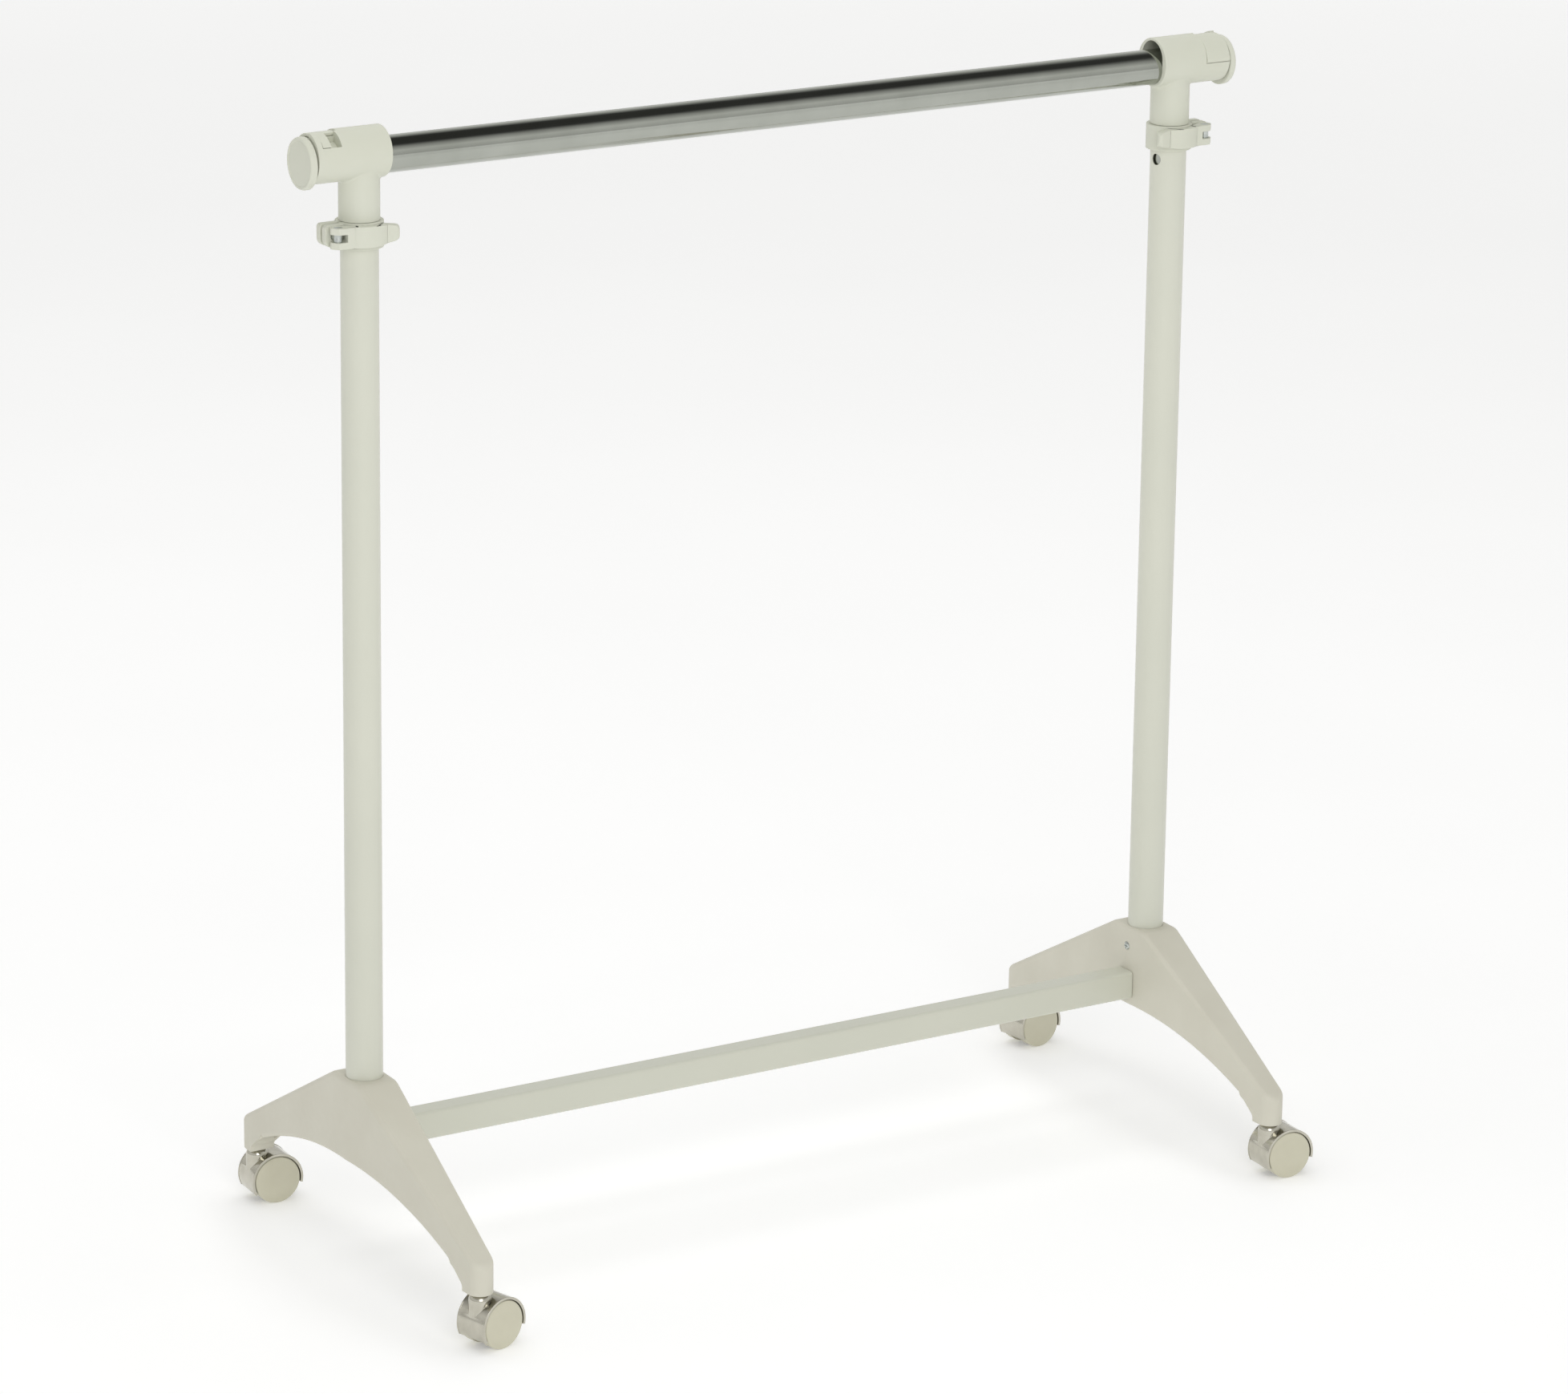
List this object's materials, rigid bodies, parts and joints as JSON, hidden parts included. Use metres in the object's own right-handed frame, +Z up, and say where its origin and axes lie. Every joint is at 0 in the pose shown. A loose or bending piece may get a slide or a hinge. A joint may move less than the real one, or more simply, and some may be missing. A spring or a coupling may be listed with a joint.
{
  "type": "garment rail",
  "caption": "Rolling garment rail with telescopic posts on arched feet, swivel casters, a cross bar and an extending chrome hanging rail.",
  "frame": {"origin": "on the floor under the middle of the cross bar", "axes": "+X along the hanging rail to the right seen from the front, -Y to the front, +Z up"},
  "size_m": [0.864, 0.4113, 0.9386],
  "materials": {
    "moulded_plastic": "fine-textured off-white moulding",
    "painted_steel": "satin off-white powder coat",
    "chrome_tube": "bright chrome plate",
    "chrome_hood": "bright chrome plate",
    "bush_nylon": "natural nylon",
    "zinc_steel": "bright zinc plate",
    "spring_steel": "drawn spring steel",
    "wheel_plastic": "cream nylon, semi-gloss"
  },
  "bodies": {
    "base": {"left_foot": "moulded_plastic", "right_foot": "moulded_plastic", "left_post": "painted_steel", "right_post": "painted_steel", "cross_bar": "painted_steel", "post_screws": "zinc_steel", "bar_screws": "zinc_steel", "left_collar": "moulded_plastic", "right_collar": "moulded_plastic", "clamp_bolts": "zinc_steel", "clamp_nuts": "zinc_steel", "lever_barrels": "zinc_steel", "post_bushes": "bush_nylon", "caster_stems": "zinc_steel", "stem_sleeves": "bush_nylon"},
    "upper_frame": {"left_tee": "moulded_plastic", "right_tee": "moulded_plastic", "left_inner_tube": "chrome_tube", "right_inner_tube": "chrome_tube", "hanging_rail": "chrome_tube", "guide_bushes": "bush_nylon", "stop_clips": "spring_steel", "rail_end_bushes": "bush_nylon", "lock_pins": "zinc_steel"},
    "left_arm": {"left_arm_tube": "chrome_tube", "left_arm_bush": "bush_nylon", "left_end_cap": "moulded_plastic"},
    "left_lock": {"left_rail_lock": "moulded_plastic"},
    "left_lever": {"left_clamp_lever": "moulded_plastic"},
    "right_arm": {"right_arm_tube": "chrome_tube", "right_arm_bush": "bush_nylon", "right_end_cap": "moulded_plastic"},
    "right_lock": {"right_rail_lock": "moulded_plastic"},
    "right_lever": {"right_clamp_lever": "moulded_plastic"},
    "front_left_caster": {"front_left_caster_hood": "chrome_hood", "front_left_axle": "zinc_steel"},
    "front_left_front_wheel": {"front_left_wheel_front": "wheel_plastic"},
    "front_left_back_wheel": {"front_left_wheel_back": "wheel_plastic"},
    "front_right_caster": {"front_right_caster_hood": "chrome_hood", "front_right_axle": "zinc_steel"},
    "front_right_front_wheel": {"front_right_wheel_front": "wheel_plastic"},
    "front_right_back_wheel": {"front_right_wheel_back": "wheel_plastic"},
    "back_left_caster": {"back_left_caster_hood": "chrome_hood", "back_left_axle": "zinc_steel"},
    "back_left_front_wheel": {"back_left_wheel_front": "wheel_plastic"},
    "back_left_back_wheel": {"back_left_wheel_back": "wheel_plastic"},
    "back_right_caster": {"back_right_caster_hood": "chrome_hood", "back_right_axle": "zinc_steel"},
    "back_right_front_wheel": {"back_right_wheel_front": "wheel_plastic"},
    "back_right_back_wheel": {"back_right_wheel_back": "wheel_plastic"}
  },
  "joints": [
    {"name": "height_adjust", "type": "slide", "parent": "base", "child": "upper_frame", "axis": [0, 0, 1], "range_m": [0, 0.6]},
    {"name": "left_arm_slide", "type": "slide", "parent": "upper_frame", "child": "left_arm", "axis": [-1, 0, 0], "range_m": [0, 0.3]},
    {"name": "left_lock_hinge", "type": "hinge", "parent": "upper_frame", "child": "left_lock", "pos_m": [-0.4134, 0.018, 0.9196], "axis": [-1, 0, 0], "range_deg": [0, 75]},
    {"name": "left_lever_hinge", "type": "hinge", "parent": "base", "child": "left_lever", "pos_m": [-0.406, -0.0139, 0.8566], "axis": [0, 0, -1], "range_deg": [0, 130]},
    {"name": "right_arm_slide", "type": "slide", "parent": "upper_frame", "child": "right_arm", "axis": [1, 0, 0], "range_m": [0, 0.3]},
    {"name": "right_lock_hinge", "type": "hinge", "parent": "upper_frame", "child": "right_lock", "pos_m": [0.4134, -0.018, 0.9196], "axis": [1, 0, 0], "range_deg": [0, 75]},
    {"name": "right_lever_hinge", "type": "hinge", "parent": "base", "child": "right_lever", "pos_m": [0.406, -0.0139, 0.8566], "axis": [0, 0, 1], "range_deg": [0, 130]},
    {"name": "front_left_swivel", "type": "hinge", "parent": "base", "child": "front_left_caster", "pos_m": [-0.38, -0.187, 0.044], "axis": [0, 0, 1], "continuous": true},
    {"name": "front_left_front_wheel_spin", "type": "hinge", "parent": "front_left_caster", "child": "front_left_front_wheel", "pos_m": [-0.36836, -0.1841, 0.02], "axis": [-0.2419, 0.9703, 0], "continuous": true},
    {"name": "front_left_back_wheel_spin", "type": "hinge", "parent": "front_left_caster", "child": "front_left_back_wheel", "pos_m": [-0.36836, -0.1841, 0.02], "axis": [-0.2419, 0.9703, 0], "continuous": true},
    {"name": "front_right_swivel", "type": "hinge", "parent": "base", "child": "front_right_caster", "pos_m": [0.38, -0.187, 0.044], "axis": [0, 0, 1], "continuous": true},
    {"name": "front_right_front_wheel_spin", "type": "hinge", "parent": "front_right_caster", "child": "front_right_front_wheel", "pos_m": [0.39197, -0.18784, 0.02], "axis": [0.0698, 0.9976, 0], "continuous": true},
    {"name": "front_right_back_wheel_spin", "type": "hinge", "parent": "front_right_caster", "child": "front_right_back_wheel", "pos_m": [0.39197, -0.18784, 0.02], "axis": [0.0698, 0.9976, 0], "continuous": true},
    {"name": "back_left_swivel", "type": "hinge", "parent": "base", "child": "back_left_caster", "pos_m": [-0.38, 0.187, 0.044], "axis": [0, 0, 1], "continuous": true},
    {"name": "back_left_front_wheel_spin", "type": "hinge", "parent": "back_left_caster", "child": "back_left_front_wheel", "pos_m": [-0.36803, 0.18616, 0.02], "axis": [0.0698, 0.9976, 0], "continuous": true},
    {"name": "back_left_back_wheel_spin", "type": "hinge", "parent": "back_left_caster", "child": "back_left_back_wheel", "pos_m": [-0.36803, 0.18616, 0.02], "axis": [0.0698, 0.9976, 0], "continuous": true},
    {"name": "back_right_swivel", "type": "hinge", "parent": "base", "child": "back_right_caster", "pos_m": [0.38, 0.187, 0.044], "axis": [0, 0, 1], "continuous": true},
    {"name": "back_right_front_wheel_spin", "type": "hinge", "parent": "back_right_caster", "child": "back_right_front_wheel", "pos_m": [0.39191, 0.18846, 0.02], "axis": [-0.1219, 0.9925, 0], "continuous": true},
    {"name": "back_right_back_wheel_spin", "type": "hinge", "parent": "back_right_caster", "child": "back_right_back_wheel", "pos_m": [0.39191, 0.18846, 0.02], "axis": [-0.1219, 0.9925, 0], "continuous": true}
  ]
}
